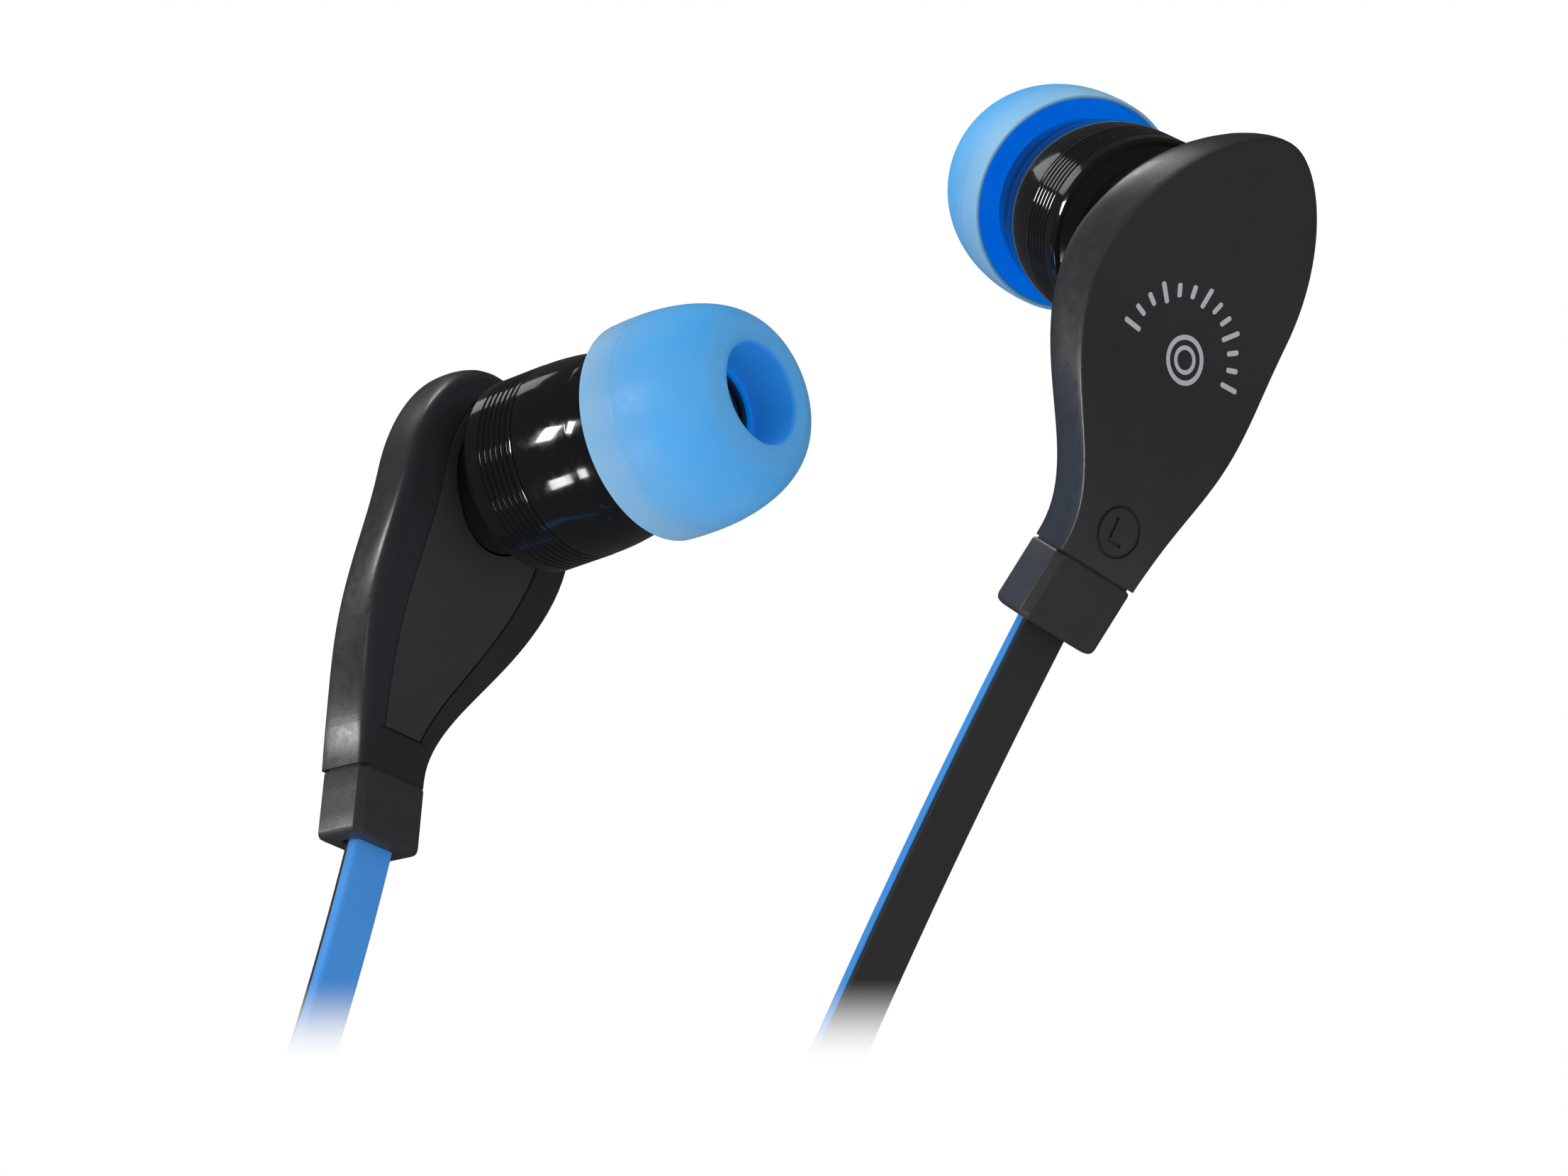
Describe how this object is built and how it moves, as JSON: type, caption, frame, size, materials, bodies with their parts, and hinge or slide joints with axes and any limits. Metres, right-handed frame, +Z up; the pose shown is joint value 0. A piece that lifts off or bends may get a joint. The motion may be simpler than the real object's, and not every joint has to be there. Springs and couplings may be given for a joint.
{
  "type": "in-ear earphones",
  "caption": "Corded in-ear earphones: paddle-shaped earpieces with round glossy housings, soft tips, flat two-colour cords, splitter and right-angle plug.",
  "frame": {"origin": "on the plug's axis, half way along its sleeve contact", "axes": "+X along the plug's contacts towards its tip, +Z up from the roll of cord to the earpieces, -Y the side the two earpieces are seen from"},
  "size_m": [0.0586, 0.0475, 0.1377],
  "materials": {
    "shell_black": "soft-touch matt",
    "panel_black": "fine matt",
    "housing_gloss": "polished gloss",
    "tip_silicone": "translucent matt silicone",
    "cord_black": "matt",
    "cord_blue": "satin",
    "plug_black": "satin moulded",
    "contact_gold": "polished plating",
    "insulator": "satin",
    "tie": "matt",
    "crimp": "plated",
    "copper": "enamelled copper",
    "mesh": "woven gauze",
    "felt": "felt",
    "brass_parts": "plain",
    "steel": "zinc plated",
    "magnet": "nickel plated",
    "board": "solder mask",
    "film": "clear film"
  },
  "bodies": {
    "hub": {"splitter_front": "shell_black", "splitter_back": "shell_black", "splitter_splice": "brass_parts", "main_cord_black": "cord_black", "main_cord_blue": "cord_blue", "cord_tie": "tie", "plug_body": "plug_black", "plug_sleeve": "contact_gold", "plug_ring": "contact_gold", "plug_insulator": "insulator", "plug_tip": "contact_gold"},
    "left_cord": {"left_cord_black": "cord_black", "left_cord_blue": "cord_blue"},
    "left_earpiece": {"left_shell": "shell_black", "left_cover_panel": "panel_black", "left_strain_relief": "shell_black", "left_cord_anchor": "crimp", "left_lead_wires": "copper", "left_driver_cup": "housing_gloss", "left_nozzle": "housing_gloss", "left_nozzle_mesh": "mesh", "left_damper": "felt", "left_driver_frame": "brass_parts", "left_yoke": "steel", "left_magnet": "magnet", "left_pole_plate": "steel", "left_terminal_board": "board"},
    "left_tip": {"left_ear_tip": "tip_silicone"},
    "left_cone": {"left_voice_coil": "copper", "left_diaphragm": "film"},
    "right_cord": {"right_cord_black": "cord_black", "right_cord_blue": "cord_blue"},
    "right_earpiece": {"right_shell": "shell_black", "right_cover_panel": "panel_black", "right_strain_relief": "shell_black", "right_cord_anchor": "crimp", "right_lead_wires": "copper", "right_driver_cup": "housing_gloss", "right_nozzle": "housing_gloss", "right_nozzle_mesh": "mesh", "right_damper": "felt", "right_driver_frame": "brass_parts", "right_yoke": "steel", "right_magnet": "magnet", "right_pole_plate": "steel", "right_terminal_board": "board"},
    "right_tip": {"right_ear_tip": "tip_silicone"},
    "right_cone": {"right_voice_coil": "copper", "right_diaphragm": "film"}
  },
  "joints": [
    {"name": "left_cord_swing", "type": "hinge", "parent": "hub", "child": "left_cord", "pos_m": [-0.00625, -0.0191, 0.0237], "axis": [1, 0, 0], "range_deg": [-20, 20]},
    {"name": "left_earpiece_flex", "type": "hinge", "parent": "left_cord", "child": "left_earpiece", "pos_m": [0.01947, -0.02294, 0.08235], "axis": [-0.7538, -0.488, 0.4401], "range_deg": [-30, 30]},
    {"name": "left_tip_twist", "type": "hinge", "parent": "left_earpiece", "child": "left_tip", "pos_m": [0.02661, -0.01824, 0.10275], "axis": [-0.337, 0.8891, 0.3097], "continuous": true},
    {"name": "left_cone_travel", "type": "slide", "parent": "left_earpiece", "child": "left_cone", "axis": [-0.337, 0.8891, 0.3097], "range_m": [-0.00025, 0.00025], "stiffness_N_per_m": 40},
    {"name": "right_cord_swing", "type": "hinge", "parent": "hub", "child": "right_cord", "pos_m": [-0.01055, -0.0191, 0.0237], "axis": [1, 0, 0], "range_deg": [-20, 20]},
    {"name": "right_earpiece_flex", "type": "hinge", "parent": "right_cord", "child": "right_earpiece", "pos_m": [-0.01617, -0.01096, 0.07016], "axis": [0.5991, 0.7241, -0.3417], "range_deg": [-30, 30]},
    {"name": "right_tip_twist", "type": "hinge", "parent": "right_earpiece", "child": "right_tip", "pos_m": [-0.00904, -0.00659, 0.09059], "axis": [0.7736, -0.5813, 0.2522], "continuous": true},
    {"name": "right_cone_travel", "type": "slide", "parent": "right_earpiece", "child": "right_cone", "axis": [0.7736, -0.5813, 0.2522], "range_m": [-0.00025, 0.00025], "stiffness_N_per_m": 40}
  ]
}
